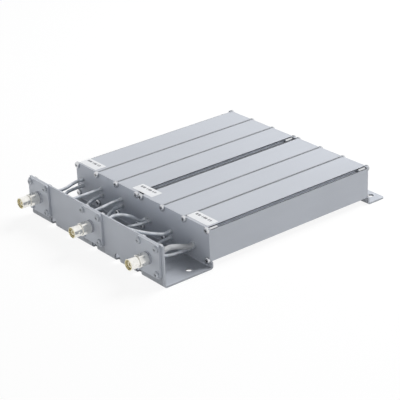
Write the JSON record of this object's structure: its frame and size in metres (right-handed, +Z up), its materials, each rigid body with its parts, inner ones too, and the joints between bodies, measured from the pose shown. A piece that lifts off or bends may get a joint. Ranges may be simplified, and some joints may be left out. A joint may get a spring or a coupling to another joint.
{
  "type": "cavity duplexer",
  "caption": "Flat cavity duplexer: extruded cavity blocks between folded brackets, with bayonet jacks, coax leads, tuning rods and mounting feet.",
  "frame": {"origin": "centre of the four mounting holes, on the underside of the web and the foot", "axes": "+X to the right seen from the jacks, +Y to the back, away from the jacks, +Z up"},
  "size_m": [0.187, 0.2664, 0.0367],
  "materials": {
    "block_paint": "light blue-grey matt paint on extruded aluminium",
    "bracket_paint": "light blue-grey matt paint on folded steel sheet",
    "plate_paint": "light blue-grey matt paint",
    "zinc_screws": "bright zinc plating",
    "jack_nickel": "bright nickel plating",
    "jack_insulator": "cream fluoropolymer",
    "contact_gold": "thin gold plating",
    "tinned_braid": "tin-soaked copper braid",
    "grey_sleeve": "grey shrink sleeve",
    "tinned_collars": "tinned",
    "plated_brass": "dull silver plating on brass",
    "bare_brass": "bare brass"
  },
  "bodies": {
    "root": {"cavity_block_left": "block_paint", "cavity_block_right": "block_paint", "front_bracket": "bracket_paint", "rear_bracket": "bracket_paint", "jack_plate_left": "plate_paint", "jack_plate_middle": "plate_paint", "jack_plate_right": "plate_paint", "front_wall_screws": "zinc_screws", "rear_wall_screws": "zinc_screws", "plate_screws": "zinc_screws", "plate_nuts": "zinc_screws", "resonator_nuts": "zinc_screws", "tuning_nuts": "zinc_screws", "jack_shell_left": "jack_nickel", "jack_nut_left": "jack_nickel", "jack_shell_middle": "jack_nickel", "jack_nut_middle": "jack_nickel", "jack_shell_right": "jack_nickel", "jack_nut_right": "jack_nickel", "jack_insulator_left": "jack_insulator", "jack_insulator_middle": "jack_insulator", "jack_insulator_right": "jack_insulator", "jack_contact_left": "contact_gold", "jack_contact_middle": "contact_gold", "jack_contact_right": "contact_gold", "lead_jack_left_to_cell_1": "tinned_braid", "lead_cell_1_to_cell_2": "tinned_braid", "lead_cell_2_to_cell_3": "tinned_braid", "lead_cell_3_to_jack_middle": "tinned_braid", "lead_jack_middle_to_cell_4": "tinned_braid", "lead_cell_4_to_cell_5": "tinned_braid", "lead_cell_5_to_cell_6": "tinned_braid", "lead_cell_6_to_jack_right": "tinned_braid", "lead_sleeve": "grey_sleeve", "lead_ferrules": "tinned_collars", "sleeve_ring": "tinned_collars", "resonator_1": "plated_brass", "resonator_2": "plated_brass", "resonator_3": "plated_brass", "resonator_4": "plated_brass", "resonator_5": "plated_brass", "resonator_6": "plated_brass", "tuning_rod_1": "bare_brass", "tuning_rod_2": "bare_brass", "tuning_rod_3": "bare_brass", "tuning_rod_4": "bare_brass", "tuning_rod_5": "bare_brass", "tuning_rod_6": "bare_brass", "coupling_probe_1": "bare_brass", "coupling_probe_2": "bare_brass", "coupling_probe_3": "bare_brass", "coupling_probe_4": "bare_brass", "coupling_probe_5": "bare_brass", "coupling_probe_6": "bare_brass"}
  },
  "joints": []
}
